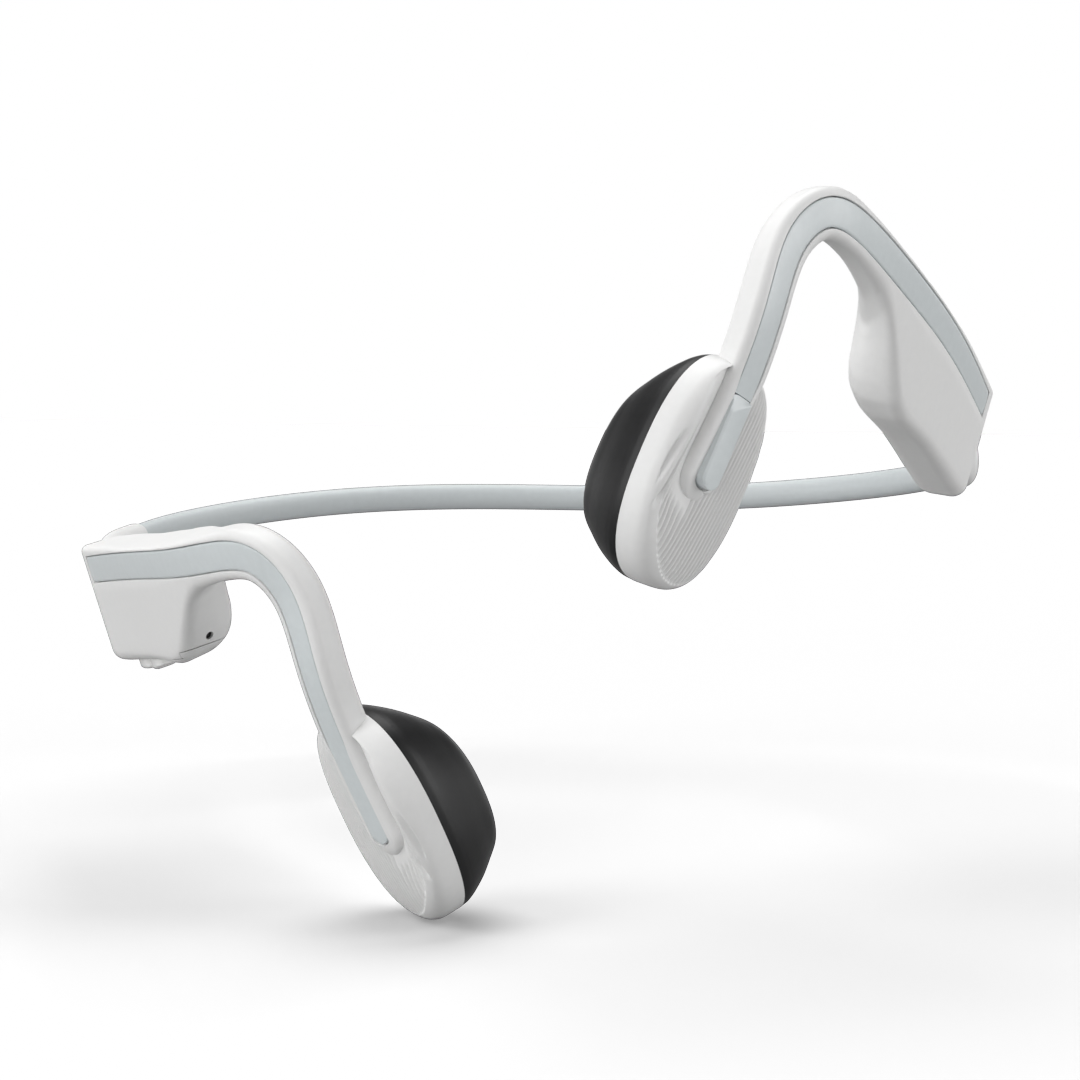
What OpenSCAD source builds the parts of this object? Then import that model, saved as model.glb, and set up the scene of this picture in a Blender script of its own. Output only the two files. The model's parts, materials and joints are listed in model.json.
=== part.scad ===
// Bone conduction headphones: a springy neckband carries a housing behind each
// ear, an ear hook over the ear and a transducer pod in front of it.
//
// Whole object: origin at the middle of the neckband, +X to the wearer's left,
// -Y towards the wearer's face, +Z up.
// Arm frame: origin at the rear end of the inlay strip, +X forward along the
// housing, +Y out of its outer face, +Z up. The left arm is placed by arm_at and
// arm_turn, the right arm is its mirror image, and the band twists them apart.

/* [Neckband] */
// Angle that each arm is twisted about the band's middle
band_twist = 10; // [0:1:15]
// Height of the band's section
band_h = 4.9; // [4:0.1:6]
// Thickness of the band's section
band_t = 3.8; // [3.2:0.1:4.6]
// Diameter of the titanium wire
wire_d = 1.4; // [1:0.1:1.6]
// Diameter of the signal cable
cable_d = 0.7; // [0.4:0.1:0.8]

/* [Strip and hook] */
// Width of the inlay strip on the housing
strip_w = 4.1; // [3.4:0.1:4.4]
// Width of the inlay strip on the pod
strip_tip_w = 3.6; // [3:0.1:4]
// Thickness of the inlay strip
strip_t = 0.9; // [0.6:0.1:1.1]
// Seam between the strip and the skin on each side
strip_gap = 0.12; // [0.08:0.01:0.2]
// Height of the skin's outer face above the strip's centre surface
face_rise = 0.3; // [0.1:0.05:0.4]

/* [Housing] */
// Height of the housing below the strip's centreline
housing_drop = 16.4; // [15:0.1:17.5]
// Thickness of the housing
housing_t = 9.2; // [8.6:0.1:10]
// Thickness of the inner cover
cover_t = 1.2; // [0.8:0.1:1.5]

/* [Pod] */
// Half the pod's length
pod_a = 15.8; // [15:0.1:17]
// Half the pod's width
pod_b = 11.3; // [10.6:0.1:12]
// Depth of the white shell
shell_d = 5; // [4.6:0.1:5.6]
// Depth of the whole pod
pod_d = 15.6; // [15:0.1:17]
// Wall of the shell and the pad
pod_wall = 1.2; // [1:0.1:1.5]

/* [Controls] */
// How far a volume button stands out below the housing
volume_proud = 1.1; // [0.6:0.1:1.3]
// Gap between a volume button and its switch
volume_travel = 0.45; // [0.4:0.05:0.6]
// Rise of the multifunction button at its tip
mfb_rise = 1.2; // [0.6:0.1:1.5]

/* [Hidden] */

white = "whitesmoke";
grey = "lightsteelblue";
dark = "dimgray";
metal = "silver";

// Placing of the left arm
arm_at = [71, -80, 5];
arm_turn = [-12, -14, -115.5];

// Half of the band's centreline, a Bezier curve in the level plane
band_curve = [[0, 0], [39, 0], [94.4, -29], [64.8, -76]];
band_end_x = 65.5;
// Curve values where the band is cut for its elastic joints
middle_cut = 0.05;
middle_gap = 0.004;
inner_cut = 0.17;
knuckle_r = band_t / 2 - 0.1;
knuckle_gap = 0.35;
// Places of the wire and the cable in the band's section
wire_z = 0.8;
cable_z = -1.3;

// Centreline of the strip, and the lean of its outer face along X and Z
strip_curve = [[-0.5, 0, 0], [16.5, 0.5, 0.5], [31.5, 0, 0.5], [47.5, -1.5, 0],
               [60.5, -4, 0.5], [67, -6.5, -0.5], [69.5, -9, -7], [70, -8, -16.5],
               [67.5, -9.5, -27.5], [67.5, -12, -42.5]];
strip_lean = [[0, 0], [0, -0.08], [0.04, -0.1], [0.15, -0.15], [0.22, -0.05],
              [0.52, -0.15], [0.33, -0.08], [0.24, 0], [0.3, -0.2], [0.3, -0.12]];
strip_end = 9.06;
// The run before the strip's first point, in mm for one step of the curve
lead_in = 17;

// Skin section along the strip: place, rise above the centreline, drop below it,
// depth, outer corner radius, inner corner radius, backward lag of the underside,
// extra height of the inner side at its top and at its bottom
d = housing_drop;
t = housing_t;
skin_keys = [[-0.13, 1.8, d - 4.6, t - 2.8, 0.8, 2.4, -0.6, 1.0],
             [-0.10, 2.4, d - 3.2, t - 1.2, 1.0, 3.4, -0.6, 1.3],
             [-0.02, 2.7, d - 1.7, t - 0.2, 1.0, 4.2, -0.6, 1.4],
             [0.10, 2.8, d - 1.2, t, 1.0, 4.4, -0.6, 1.4],
             [0.30, 2.8, d - 1.1, t, 1.0, 4.4, -0.4, 1.2],
             [1.10, 2.8, d - 0.8, t, 1.0, 4.4, 0, 0.8],
             [1.85, 2.8, d - 0.3, t, 1.0, 4.4, 0, 0.2],
             [2.10, 2.8, d - 0.8, t, 1.0, 4.2, 0.2, 0],
             [2.28, 2.8, d - 2.4, t, 1.1, 4.0, 1.0, 0],
             [2.44, 2.8, d - 5.0, t - 0.3, 1.2, 3.8, 2.5, 0],
             [2.57, 2.8, d - 7.6, t - 0.6, 1.2, 3.5, 4.2, 0],
             [2.70, 2.9, d - 9.8, t - 1.0, 1.2, 3.2, 5.3, 0],
             [2.86, 2.9, d - 11.4, t - 1.8, 1.2, 2.8, 5.0, 0],
             [3.20, 3.0, d - 12.5, t - 3.2, 1.2, 2.4, 3.0, 0],
             [3.70, 3.2, 3.6, t - 4.4, 1.2, 2.2, 0, 0],
             [4.50, 3.5, 3.6, 4.5, 1.2, 2.1, 0, 0],
             [5.50, 3.4, 3.6, 4.7, 1.2, 2.2, 0, 0],
             [7.00, 3.4, 3.5, 4.7, 1.2, 2.2, 0, 0],
             [8.20, 3.3, 3.3, 4.5, 1.2, 2.1, 0, 0]];
skin_from = -0.13;
hook_from = 2.28;
hook_to = 7.8;
bead_to = 9.3;
wire_depth = 2.5;
wire_to = 7.7;

// Cavity of the housing
cavity_x = [1.2, 32.6];
cavity_z = [-housing_drop + 2.9, 0.6];
cavity_y = -1.9;
cavity_r = 2.5;

// Pod frame in the arm frame: centre of its face, lean of the face, tilt in plane
pod_at = [64.6, -11.9, -41.4];
pod_lean = [0.06, -0.2];
pod_tilt = 0.14;
pod_power = 2.4;
// Pod sections: depth, half length and half width as a share, offset upwards
shell_keys = [[-0.5, 0.45, 0.42, 0.8], [-0.3, 0.72, 0.66, 0.9], [0.2, 0.88, 0.83, 1],
              [1, 0.955, 0.93, 1], [2.4, 0.99, 0.985, 1], [shell_d, 1, 1, 1]];
pad_keys = [[shell_d, 1, 1, 1], [6.8, 0.97, 0.97, 0.8], [9.2, 0.88, 0.88, 0.4],
            [11.6, 0.76, 0.76, 0], [13.8, 0.62, 0.63, -0.5], [15, 0.45, 0.45, -1],
            [pod_d, 0.25, 0.24, -1.3]];

// Transducer, from the pod's face inwards
drive_x = 0;
drive_z = -0.5;
drive_y = -3.2;

// ---- Curves and solids ----

function unit(a) = a / norm(a);
function cubic(a, b, c, e, s) =
    (pow(1 - s, 3) * a + (3 * pow(s, 3) - 6 * s * s + 4) * b
    + (-3 * pow(s, 3) + 3 * s * s + 3 * s + 1) * c + pow(s, 3) * e) / 6;
// Point at v on the smooth curve that a list of points guides, v from 0 to len - 1
function guided(list, v) =
    let (last = len(list) - 1, i = max(0, min(floor(v), last - 1)), s = v - i,
         before = i == 0 ? 2 * list[0] - list[1] : list[i - 1],
         after = i == last - 1 ? 2 * list[last] - list[last - 1] : list[i + 2])
    cubic(before, list[i], list[i + 1], after, s);
// Frame at v on the strip: place, forward, outward, upward
function strip_frame(v) =
    let (last = len(strip_curve) - 1, w = max(0.001, min(v, last - 0.001)),
         forward = unit(guided(strip_curve, w + 0.001) - guided(strip_curve, w - 0.001)),
         lean = guided(strip_lean, w),
         out = [lean[0], 1, lean[1]],
         outward = unit(out - forward * (out * forward)),
         place = guided(strip_curve, w) + forward * (v - w) * lead_in)
    [place, forward, outward, cross(forward, outward)];
// Point of a section at v: height, outward offset and forward shift
function on_strip(v, height, out, ahead = 0) =
    let (f = strip_frame(v)) f[0] + f[3] * height + f[2] * out + f[1] * ahead;
// Row of a table at v, each column interpolated
function row_at(table, v) =
    let (places = [for (row = table) row[0]])
    [for (k = [1 : len(table[0]) - 1]) lookup(v, [for (row = table) [row[0], row[k]]])];
function arc(x, y, r, from, steps) =
    [for (i = [0 : steps]) [x + r * cos(from + 90 * i / steps), y + r * sin(from + 90 * i / steps)]];
// Rounded section with a groove for the strip, as [height, outward] points
function skin_section(row, groove_w, groove_d) =
    let (top = row[0], low = -row[1], deep = -row[2], ro = row[3], ri = row[4], more = row[6],
         g = groove_w / 2, rl = min(2 * ro, -low - g - 0.3))
    concat(arc(top - ro, face_rise - ro, ro, 0, 2),
           [[g, face_rise], [g, face_rise - groove_d], [-g, face_rise - groove_d], [-g, face_rise]],
           arc(low + rl, face_rise - rl, rl, 90, 2),
           arc(low - more + ri, deep + ri, ri, 180, 4),
           arc(top + more - ri, deep + ri, ri, 270, 4));
function strip_width(v) = strip_w + (strip_tip_w - strip_w) * max(0, v - 3) / 6;
function skin_ring(v) =
    let (row = row_at(skin_keys, v), depth = v < -0.03 ? 0.01 : strip_t + 0.2,
         span = row[0] + row[1])
    [for (q = skin_section(row, strip_width(v) + 2 * strip_gap, depth))
        on_strip(v, q[0], q[1], -row[5] * max(0, min(1, (row[0] - q[0]) / span)))];
// Section of a flat bar on the strip's line, between two outward offsets
function bar_ring(v, width, low, high) =
    [on_strip(v, width / 2, high), on_strip(v, -width / 2, high),
     on_strip(v, -width / 2, low), on_strip(v, width / 2, low)];
function round_ring(v, r, depth, sides) =
    [for (i = [0 : sides - 1]) on_strip(v, r * cos(360 * i / sides), r * sin(360 * i / sides) - depth)];
function steps(from, to, count) = [for (i = [0 : count]) from + (to - from) * i / count];

// Band frame: level centreline point and its outward direction
function band_point(s) =
    let (b = band_curve)
    pow(1 - s, 3) * b[0] + 3 * s * pow(1 - s, 2) * b[1] + 3 * s * s * (1 - s) * b[2] + pow(s, 3) * b[3];
function band_heading(s) =
    let (b = band_curve)
    unit(pow(1 - s, 2) * (b[1] - b[0]) + 2 * s * (1 - s) * (b[2] - b[1]) + s * s * (b[3] - b[2]));
// The twist grows from the middle to the arm
function twist_at(x) =
    let (u = max(-1, min(1, x / band_end_x))) -band_twist * u * (1.5 - 0.5 * u * u);
function twisted(p) =
    let (a = twist_at(p[0]))
    [p[0], p[1] * cos(a) - p[2] * sin(a), p[1] * sin(a) + p[2] * cos(a)];
// Ring round the band at s; negative s is the wearer's right half
function band_ring(s, half_t, half_h, out, up, sides) =
    let (m = s < 0 ? -1 : 1, p = band_point(abs(s)), h = band_heading(abs(s)), o = [-h[1], h[0]])
    [for (i = [0 : sides - 1])
        let (c = out + half_t * cos(360 * i / sides), z = up + half_h * sin(360 * i / sides))
        twisted([m * (p[0] + o[0] * c), p[1] + o[1] * c, z])];

// Solid through a list of rings, each with the same number of points
module loft(rings, turned = false) {
    n = len(rings[0]);
    m = len(rings);
    points = [for (ring = rings) each ring];
    sides = [for (i = [0 : m - 2], j = [0 : n - 1])
                let (a = i * n + j, b = i * n + (j + 1) % n)
                each [[a, b, b + n], [a, b + n, a + n]]];
    ends = [[for (j = [n - 1 : -1 : 0]) j], [for (j = [0 : n - 1]) (m - 1) * n + j]];
    faces = concat(sides, ends);
    polyhedron(points, turned ? [for (f = faces) [for (k = [len(f) - 1 : -1 : 0]) f[k]]] : faces,
               convexity = 8);
}

// ---- Places ----

module left_arm() {
    rotate([-band_twist, 0, 0]) translate(arm_at) rotate(arm_turn) children();
}
module right_arm() {
    rotate([band_twist, 0, 0]) mirror([1, 0, 0]) translate(arm_at) rotate(arm_turn) children();
}
// Children drawn for a pod: X forward, Y outward, Z up the pod
pod_out = unit([pod_lean[0], 1, pod_lean[1]]);
pod_up = unit([pod_tilt, 0, 1] - pod_out * ([pod_tilt, 0, 1] * pod_out));
pod_forward = cross(pod_out, pod_up);
module on_pod() {
    multmatrix([[pod_forward[0], pod_out[0], pod_up[0], pod_at[0]],
                [pod_forward[1], pod_out[1], pod_up[1], pod_at[1]],
                [pod_forward[2], pod_out[2], pod_up[2], pod_at[2]],
                [0, 0, 0, 1]]) children();
}
// Children drawn along +Z point inwards from depth y on the pod's drive axis
module on_drive(y) {
    on_pod() translate([drive_x, y, drive_z]) rotate([90, 0, 0]) children();
}

// ---- Neckband ----

bore_gap = 0.1;
module band_solid(from, to, count, half_t, half_h, up = 0, sides = 16) {
    loft([for (s = steps(from, to, count)) band_ring(s, half_t, half_h, 0, up, sides)], true);
}
module band_core(from, to, count, dia, up, extra = 0) {
    band_solid(from, to, count, dia / 2 + extra, dia / 2 + extra, up, 8);
}
// Upright cylinder on the spreading axis of one side, 1 for left and -1 for right
module knuckle(side, r, h) {
    p = band_point(inner_cut);
    translate(twisted([side * p[0], p[1], 0])) cylinder(r = r, h = h, center = true, $fn = 48);
}
module sleeve(from, to, count) {
    color(grey)
    difference() {
        band_solid(from, to, count, band_t / 2, band_h / 2);
        band_core(from - 0.002, to + 0.002, count, wire_d, wire_z, bore_gap);
        band_core(from - 0.002, to + 0.002, count, cable_d, cable_z, bore_gap);
    }
}
module inner_sleeve(side) {
    near = middle_cut + middle_gap;
    low = side > 0 ? near : -inner_cut;
    high = side > 0 ? inner_cut : -near;
    color(grey)
    difference() {
        union() {
            band_solid(low, high, 6, band_t / 2, band_h / 2);
            knuckle(side, knuckle_r, band_h - 0.6);
        }
        band_core(low - 0.002, high + 0.002, 6, wire_d, wire_z, bore_gap);
        band_core(low - 0.002, high + 0.002, 6, cable_d, cable_z, bore_gap);
    }
}
// The outer band runs from the spreading axis into the housing's neck
sleeve_end = 0.985;
wire_end = 0.995;
module outer_band(side, stop, count, half_t, half_h, up, sides) {
    difference() {
        band_solid(side > 0 ? inner_cut : -stop, side > 0 ? stop : -inner_cut, count,
                   half_t, half_h, up, sides);
        knuckle(side, knuckle_r + knuckle_gap, 4 * band_h);
    }
}
module outer_sleeve(side) {
    color(grey)
    difference() {
        outer_band(side, sleeve_end, 24, band_t / 2, band_h / 2, 0, 12);
        outer_band(side, 1.05, 24, wire_d / 2 + bore_gap, wire_d / 2 + bore_gap, wire_z, 8);
        outer_band(side, 1.05, 24, cable_d / 2 + bore_gap, cable_d / 2 + bore_gap, cable_z, 8);
    }
}
module outer_wire(side) {
    color(metal) outer_band(side, wire_end, 24, wire_d / 2, wire_d / 2, wire_z, 8);
}
module outer_cable(side) {
    color(dark) outer_band(side, wire_end, 24, cable_d / 2, cable_d / 2, cable_z, 6);
}
module inner_core(side, dia, up) {
    near = middle_cut + middle_gap;
    band_core(side > 0 ? near : -inner_cut, side > 0 ? inner_cut : -near, 6, dia, up);
}

// ---- Housing ----

// The neck reaches from the housing over the band's end and flares towards the housing
neck_from = 0.7;
neck_to = 1.02;
neck_wall = 0.4;
neck_rise = 2.8;
module neck(side) {
    rings = [for (s = steps(neck_from, neck_to, 10))
        let (u = min(1, (s - neck_from) / 0.16), rise = neck_rise * u, fall = 1.2 * u)
        band_ring(side * s, band_t / 2 + neck_wall + 0.3 * u,
                  band_h / 2 + neck_wall + (rise + fall) / 2, 0, (rise - fall) / 2, 20)];
    loft(rings, side > 0);
}
module neck_bore(side) {
    low = neck_from - 0.01;
    high = neck_to + 0.03;
    band_solid(side > 0 ? low : -high, side > 0 ? high : -low, 14,
               band_t / 2 + 0.06, band_h / 2 + 0.06, 0, 12);
}
// Rounded block in the arm frame between two X, Y and Z limits, rounded seen from the side
module side_block(x, y, z, r) {
    translate([0, y[1], 0]) rotate([90, 0, 0]) linear_extrude(y[1] - y[0])
        hull() for (px = [x[0] + r, x[1] - r], pz = [z[0] + r, z[1] - r])
            translate([px, pz]) circle(r, $fn = 32);
}
module block(x, y, z) {
    translate([x[0], y[0], z[0]]) cube([x[1] - x[0], y[1] - y[0], z[1] - z[0]]);
}
cover_y = -housing_t + cover_t;
cover_inset = 1.3;
// Space inside the housing, and the seat of its inner cover
module cavity() {
    side_block(cavity_x, [cover_y - 0.02, cavity_y], cavity_z, cavity_r);
    side_block([cavity_x[0] - cover_inset, cavity_x[1] + cover_inset],
               [-housing_t - 5, cover_y], [cavity_z[0] - 0.6, cavity_z[1] + 0.6], cavity_r + 0.5);
}
module arm_side(side) {
    if (side > 0) left_arm() children();
    else right_arm() children();
}
module housing_skin(to = hook_from) {
    loft([for (v = concat(steps(skin_from, -0.02, 4), steps(0.1, to, 14))) skin_ring(v)]);
}
module housing_shell(side) {
    color(white)
    difference() {
        union() {
            arm_side(side) housing_skin();
            neck(side);
        }
        arm_side(side) cavity();
        neck_bore(side);
        if (side < 0) right_arm() control_cuts();
    }
}
module housing_cover(side) {
    gap = 0.05;
    color(white)
    arm_side(side) intersection() {
        housing_skin();
        side_block([cavity_x[0] - cover_inset + gap, cavity_x[1] + cover_inset - gap],
                   [-housing_t - 3, cover_y - 0.02],
                   [cavity_z[0] - 0.6 + gap, cavity_z[1] + 0.6 - gap], cavity_r + 0.45);
    }
}

// ---- Hook and strip ----

// The hook's skin ends at the pod's shell
pod_clearance = 0.1;
module hook_skin(side) {
    color(white)
    arm_side(side) difference() {
        loft([for (v = steps(hook_from, hook_to, 30)) skin_ring(v)]);
        loft([for (v = steps(hook_from - 0.05, hook_to + 0.05, 30))
            round_ring(v, wire_d / 2 + bore_gap, wire_depth, 8)]);
        on_pod() translate([0, pod_clearance, 0])
            loft([for (k = concat(shell_keys, [[shell_d + 2, 1, 1, 1]])) pod_ring(k, -pod_clearance)], true);
        if (side < 0) front_cuts();
    }
}
module hook_wire(side) {
    color(metal)
    arm_side(side)
    loft([for (v = steps(hook_from, wire_to, 30)) round_ring(v, wire_d / 2, wire_depth, 8)]);
}
strip_low = face_rise - strip_t - 0.1;
module strip(side, stop) {
    color(grey)
    arm_side(side)
    loft([for (v = steps(0, stop, 36)) bar_ring(v, strip_width(v), strip_low, face_rise - 0.08)]);
}

// ---- Pod ----

function pod_outline(a, b, up, count = 36) =
    [for (i = [0 : count - 1])
        let (c = cos(360 * i / count), s = sin(360 * i / count), e = 2 / pod_power)
        [sign(c) * pow(abs(c), e) * b, sign(s) * pow(abs(s), e) * a + up]];
function pod_ring(key, wall = 0) =
    [for (q = pod_outline(pod_a * key[1] - wall, pod_b * key[2] - wall, key[3])) [q[0], -key[0], q[1]]];
module cup(outer, inner) {
    loft(concat([for (k = outer) pod_ring(k)], [for (k = inner) pod_ring(k, pod_wall)]), true);
}
module bead() {
    round_from = bead_to - 3.3 / lead_in;
    rings = [for (v = concat(steps(hook_to, round_from, 7), steps(round_from + 0.05, bead_to, 4)))
        let (past = max(0, v - round_from) * lead_in, w = sqrt(max(0.2, 3.3 * 3.3 - past * past)))
        [for (q = [[w, -0.2], [w - 0.35, 0.3], [0.35 - w, 0.3], [-w, -0.2], [-w, -3.2], [w, -3.2]])
            on_strip(v, q[0], q[1])]];
    loft(rings);
}
module strip_groove(from, to, depth) {
    loft([for (v = steps(from, to, 8))
        bar_ring(v, strip_width(v) + 2 * strip_gap, face_rise - depth, 3)]);
}
groove_d = strip_t + 0.2;
button_from = 8.1;
module pod_shell(side) {
    floor_y = 3;
    color(white)
    arm_side(side) difference() {
        union() {
            on_pod() cup(shell_keys, [shell_keys[5], [floor_y + 0.8, 0.98, 0.98, 1],
                                      [floor_y, 0.9, 0.88, 1]]);
            bead();
        }
        if (side > 0) {
            strip_groove(hook_to - 0.1, button_from + 0.02, groove_d);
            strip_groove(button_from, strip_end + 0.05, groove_d + 0.6);
        } else strip_groove(hook_to - 0.1, strip_end + 0.02, groove_d);
        if (side > 0) switch_block(0.1);
        on_drive(-floor_y) cylinder(r = 7.4, h = 4, $fn = 48);
        on_pod() gasket_solid(0.05);
    }
}
module pod_pad(side) {
    color(dark)
    arm_side(side) difference() {
        on_pod() loft([for (k = pad_keys) pod_ring(k)], true);
        on_pod() translate([0, 0.01, 0])
            loft([for (k = pad_keys) if (k[0] < 14) pod_ring(k, pod_wall)], true);
        on_pod() gasket_solid(0.05);
    }
}
// Sealing ring, half in the shell's rim and half in the pad's rim
gasket_out = 0.9;
gasket_in = 1.5;
gasket_h = 1.2;
module gasket_solid(grow = 0) {
    translate([0, gasket_h / 2 - shell_d + grow, 0]) rotate([90, 0, 0])
        linear_extrude(gasket_h + 2 * grow) difference() {
            polygon(pod_outline(pod_a - gasket_out + grow, pod_b - gasket_out + grow, 1));
            polygon(pod_outline(pod_a - gasket_in - grow, pod_b - gasket_in - grow, 1));
        }
}
module pod_gasket(side) {
    color("gray") arm_side(side) on_pod() gasket_solid();
}

// ---- Transducer: depths from the yoke's base ----

yoke_r = 6.8;
yoke_h = 4.2;
yoke_wall = 1;
magnet_r = 4.2;
magnet_h = 2.2;
coil_r = 5.1;
coil_wall = 0.6;
coil_from = 2.6;
spring_y = 5.2;
spring_t = 0.25;
plate_h = 1;
module yoke(side) {
    color(metal)
    arm_side(side) on_drive(drive_y) difference() {
        cylinder(r = yoke_r, h = yoke_h, $fn = 64);
        translate([0, 0, yoke_wall]) cylinder(r = yoke_r - yoke_wall, h = yoke_h, $fn = 64);
    }
}
module magnet(side) {
    color("gray")
    arm_side(side) on_drive(drive_y - yoke_wall) cylinder(r = magnet_r, h = magnet_h, $fn = 64);
}
module pole_plate(side) {
    color(metal)
    arm_side(side) on_drive(drive_y - yoke_wall - magnet_h)
        cylinder(r = magnet_r, h = yoke_h - yoke_wall - magnet_h, $fn = 64);
}
module voice_coil(side) {
    color("peru")
    arm_side(side) on_drive(drive_y - coil_from) difference() {
        cylinder(r = coil_r, h = spring_y - coil_from, $fn = 64);
        translate([0, 0, -1]) cylinder(r = coil_r - coil_wall, h = 9, $fn = 64);
    }
}
module suspension(side) {
    slot_r = 5.9;
    color(metal)
    arm_side(side) on_drive(drive_y - spring_y) difference() {
        cylinder(r = 7.2, h = spring_t, $fn = 64);
        for (turn = [0, 120, 240])
            rotate([0, 0, turn]) translate([0, 0, -1]) rotate_extrude(angle = 90, $fn = 64)
                translate([slot_r, 0]) square([0.5, 3]);
        translate([0, 0, -1]) cylinder(r = 3, h = 3, $fn = 48);
    }
}
module vibration_plate(side) {
    color(dark)
    arm_side(side) on_drive(drive_y - spring_y - spring_t) {
        cylinder(r = 7, h = plate_h, $fn = 64);
        translate([0, 0, plate_h]) cylinder(r = 2.2, h = 4, $fn = 48);
    }
}

// ---- Left arm: battery and multifunction button ----

module battery_cell() {
    color(metal) left_arm() side_block([5, 28.5], [-7.6, -2.6], [-13.2, -2.2], 1.2);
}
module battery_board() {
    color("seagreen") left_arm() block([8, 26], [-6.2, -5.4], [-1.9, 0.2]);
}
button_tip = strip_end - 0.04;
function button_rise(v) = face_rise - 0.08 + mfb_rise * (v - button_from) / (button_tip - button_from);
module multifunction_button() {
    start = button_from + 0.02;
    color(grey)
    left_arm() loft([for (v = steps(start, button_tip, 8))
        bar_ring(v, strip_width(v) - 0.05, strip_low + 0.1, button_rise(v))]);
}
switch_at = 8.7;
switch_size = [2.6, 0.9, 2.6];
module switch_block(grow) {
    translate(on_strip(switch_at, 0, face_rise - groove_d - 1.5)) rotate([12, 0, 0])
        cube(switch_size + 2 * [grow, grow, grow], center = true);
}
module multifunction_switch() {
    color("gray") left_arm() switch_block(0);
}

// ---- Right arm: board, charging port, microphone and volume keys ----

board_y = [-6.1, -5.3];
board_x = [4, 27];
board_z = [-12.4, -1.6];
socket_x = [20.8, 29.8];
socket_y = [-5.25, -2.05];
bottom = 0.5 - housing_drop;
buttons_x = [[4.6, 11], [11.8, 18.2]];
button_y = [-5.8, -1.6];
button_top = bottom + 1.6;
port_x = 19.4;
port_y = [-7.6, -1.4];
cap_z = bottom + 1.5;
corner_x = 31;
corner_z = bottom + 2.6;
module main_board() {
    color("seagreen") right_arm() block(board_x, board_y, board_z);
}
module shield_can() {
    color(metal) right_arm() block([6, 15], [board_y[0] - 1.3, board_y[0]], [-10, -3]);
}
module volume_button(k) {
    x = buttons_x[k];
    color(white) right_arm()
    side_block([x[0] + 0.15, x[1] - 0.15], [button_y[0] + 0.15, button_y[1] - 0.15],
               [bottom - volume_proud, button_top], 0.7);
}
module volume_switches() {
    low = button_top + volume_travel;
    color("gray") right_arm() for (x = buttons_x)
        block([(x[0] + x[1]) / 2 - 1.4, (x[0] + x[1]) / 2 + 1.4], [-5.6, -3], [low, low + 1.2]);
}
module charging_socket() {
    mouth = cap_z + 0.2;
    color(metal) right_arm() difference() {
        side_like([socket_x[0], socket_x[1]], socket_y, [mouth, mouth + 7], 1.4);
        translate([0, 0, -0.01])
            side_like([socket_x[0] + 0.35, socket_x[1] - 0.35], [socket_y[0] + 0.35, socket_y[1] - 0.35],
                      [mouth, mouth + 6], 1.1);
    }
}
// Block with its corners rounded seen from below
module side_like(x, y, z, r) {
    translate([0, 0, z[0]]) linear_extrude(z[1] - z[0])
        hull() for (px = [x[0] + r, x[1] - r], py = [y[0] + r, y[1] - r])
            translate([px, py]) circle(r, $fn = 32);
}
module microphone() {
    color("gray") right_arm() block([30.4, 31.6], [-7.4, -4.4], [-12.6, -9.6]);
}
module control_cuts() {
    for (x = buttons_x)
        block([x[0], x[1]], button_y, [bottom - 3, cavity_z[0] + 0.5]);
    side_like([socket_x[0] - 0.1, socket_x[1] + 0.1], [socket_y[0] - 0.1, socket_y[1] + 0.1],
              [cap_z, cavity_z[0] + 3], 1.5);
    front_cuts();
}
// Space of the port cover and the microphone's hole
module front_cuts() {
    port_space(0);
    translate([34, -6, -12]) rotate([0, 100, 0])
        cylinder(r = 0.8, h = 12, center = true, $fn = 32);
}
// Space of the cover: a plate under the housing and the whole front lower corner
module port_space(gap) {
    block([port_x + 2 * gap, corner_x + 2], [port_y[0] + gap, port_y[1] - gap],
          [bottom - 5, cap_z - gap]);
    translate([0, 10, 0]) rotate([90, 0, 0]) linear_extrude(30)
        polygon([[corner_x - 0.5 + gap, bottom - 5], [corner_x - 0.5 + gap, bottom],
                 [corner_x + 2 + gap, corner_z - gap], [corner_x + 14, corner_z + 0.6 - gap],
                 [corner_x + 14, bottom - 5]]);
}
module port_cover() {
    color(white) right_arm() intersection() {
        housing_skin(2.8);
        port_space(0.15);
    }
}

// ---- The nodes ----

module band_sleeve_middle() { sleeve(-middle_cut, middle_cut, 6); }
module band_wire_middle() { color(metal) band_core(-middle_cut, middle_cut, 6, wire_d, wire_z); }
module band_cable_middle() { color(dark) band_core(-middle_cut, middle_cut, 6, cable_d, cable_z); }

band_sleeve_middle();
band_wire_middle();
band_cable_middle();
inner_sleeve(1);  // left_band_sleeve_inner
color(metal) inner_core(1, wire_d, wire_z);  // left_band_wire_inner
color(dark) inner_core(1, cable_d, cable_z);  // left_band_cable_inner
inner_sleeve(-1);  // right_band_sleeve_inner
color(metal) inner_core(-1, wire_d, wire_z);  // right_band_wire_inner
color(dark) inner_core(-1, cable_d, cable_z);  // right_band_cable_inner
outer_sleeve(1);  // left_band_sleeve
outer_wire(1);  // left_band_wire
outer_cable(1);  // left_band_cable
outer_sleeve(-1);  // right_band_sleeve
outer_wire(-1);  // right_band_wire
outer_cable(-1);  // right_band_cable
housing_shell(1);  // left_housing_shell
housing_cover(1);  // left_housing_cover
hook_skin(1);  // left_hook_skin
hook_wire(1);  // left_hook_wire
strip(1, button_from);  // left_strip
pod_shell(1);  // left_pod_shell
pod_pad(1);  // left_pod_pad
pod_gasket(1);  // left_pod_gasket
yoke(1);  // left_yoke
magnet(1);  // left_magnet
pole_plate(1);  // left_pole_plate
voice_coil(1);  // left_voice_coil
suspension(1);  // left_suspension
vibration_plate(1);  // left_vibration_plate
housing_shell(-1);  // right_housing_shell
housing_cover(-1);  // right_housing_cover
hook_skin(-1);  // right_hook_skin
hook_wire(-1);  // right_hook_wire
strip(-1, strip_end);  // right_strip
pod_shell(-1);  // right_pod_shell
pod_pad(-1);  // right_pod_pad
pod_gasket(-1);  // right_pod_gasket
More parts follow.
